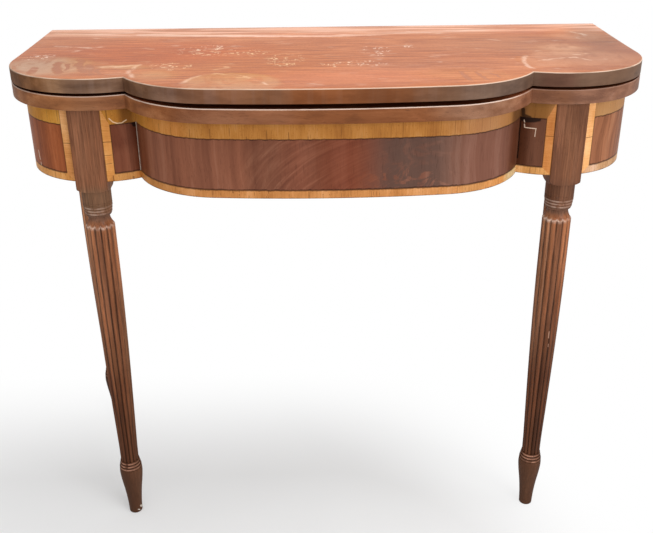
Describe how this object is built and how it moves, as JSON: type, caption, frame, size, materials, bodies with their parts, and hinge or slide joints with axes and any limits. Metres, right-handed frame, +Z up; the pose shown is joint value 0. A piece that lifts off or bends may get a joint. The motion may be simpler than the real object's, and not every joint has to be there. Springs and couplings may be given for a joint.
{
  "type": "flip-top table",
  "caption": "Card table with a fold-over top leaf, a bowed and lobed veneered apron, reeded turned legs, and one rear leg that swings out on a wooden knuckle.",
  "frame": {"origin": "centre of the floor area, at the level of the feet", "axes": "+Z up, -Y towards the bowed front, +X to the right of a person who faces the front"},
  "size_m": [0.914, 0.4352, 0.762],
  "materials": {
    "mahogany": "aged waxed polish",
    "figured_mahogany": "polished veneer",
    "satinwood": "polished veneer",
    "birch": "oxidised bare wood",
    "pine": "oxidised bare wood",
    "brass": "aged",
    "iron": "dark, worn"
  },
  "bodies": {
    "table": {"band_lower_front": "satinwood", "band_lower_inner_left": "satinwood", "band_lower_inner_right": "satinwood", "band_lower_outer_left": "satinwood", "band_lower_outer_right": "satinwood", "band_upper_front": "satinwood", "band_upper_inner_left": "satinwood", "band_upper_inner_right": "satinwood", "band_upper_outer_left": "satinwood", "band_upper_outer_right": "satinwood", "corner_block_left": "pine", "corner_block_right": "pine", "cross_brace": "pine", "fixed_rear_rail": "birch", "fixed_top": "mahogany", "front_fixing_blocks": "pine", "front_leg_left": "mahogany", "front_leg_right": "mahogany", "front_rail": "pine", "hinge_lower_plate_left": "brass", "hinge_lower_plate_right": "brass", "hinge_pin_left": "brass", "hinge_pin_right": "brass", "hinge_screws_fixed_top": "brass", "inner_rear_rail": "pine", "knuckle_pin": "iron", "panel_front": "figured_mahogany", "panel_inner_left": "figured_mahogany", "panel_inner_right": "figured_mahogany", "panel_outer_left": "figured_mahogany", "panel_outer_right": "figured_mahogany", "rear_fixing_blocks": "pine", "rear_leg_right": "mahogany", "side_fixing_blocks": "pine", "side_rail_left": "pine", "side_rail_right": "pine", "strip_inner_left": "satinwood", "strip_inner_right": "satinwood", "strip_outer_left": "satinwood", "strip_outer_right": "satinwood", "top_screws": "iron"},
    "leaf": {"leaf": "mahogany", "hinge_upper_plate_left": "brass", "hinge_upper_plate_right": "brass", "hinge_screws_leaf": "brass"},
    "swing_leg": {"swing_leg": "mahogany", "swing_rail": "birch"}
  },
  "joints": [
    {"name": "leaf_hinge", "type": "hinge", "parent": "table", "child": "leaf", "pos_m": [0, 0.2126, 0.73585], "axis": [-1, 0, 0], "range_deg": [0, 179.3]},
    {"name": "swing_leg_knuckle", "type": "hinge", "parent": "table", "child": "swing_leg", "pos_m": [-0.02, 0.17025, 0.66], "axis": [0, 0, -1], "range_deg": [0, 90]}
  ]
}
